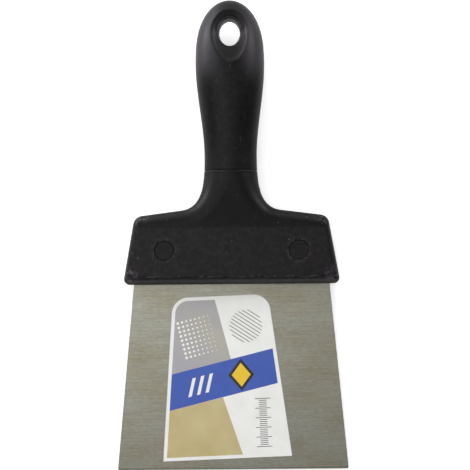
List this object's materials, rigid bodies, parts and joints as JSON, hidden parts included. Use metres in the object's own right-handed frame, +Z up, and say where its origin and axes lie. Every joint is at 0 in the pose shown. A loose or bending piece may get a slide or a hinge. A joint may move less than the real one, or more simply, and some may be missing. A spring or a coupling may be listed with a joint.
{
  "type": "flexible putty knife",
  "caption": "Flexible putty knife: wide tapered steel blade in a moulded T-shaped holder with a contoured grip, a hanging hole and a plain label on the blade.",
  "frame": {"origin": "middle of the knife's box, on the bench it lies on", "axes": "+Y from the blade's working edge to the grip's end, +X across the blade, +Z up, away from the bench. The label is on the upper side. The blade's plane is tilted 3.27 degrees about X, because the knife rests on its holder's lip and its grip's belly."},
  "size_m": [0.1198, 0.2434, 0.0271],
  "materials": {
    "blade_steel": "rolled and brushed across the blade",
    "holder_plastic": "moulded, fine satin grain",
    "grip_plastic": "moulded, satin",
    "rivet_metal": "drawn",
    "plug_plastic": "moulded, satin",
    "label_film": "printed film"
  },
  "bodies": {
    "root": {"blade": "blade_steel", "holder": "holder_plastic", "grip": "grip_plastic", "rivet_left": "rivet_metal", "rivet_right": "rivet_metal", "plug_front_left": "plug_plastic", "plug_front_right": "plug_plastic", "plug_rear_left": "plug_plastic", "plug_rear_right": "plug_plastic", "label": "label_film"}
  },
  "joints": []
}
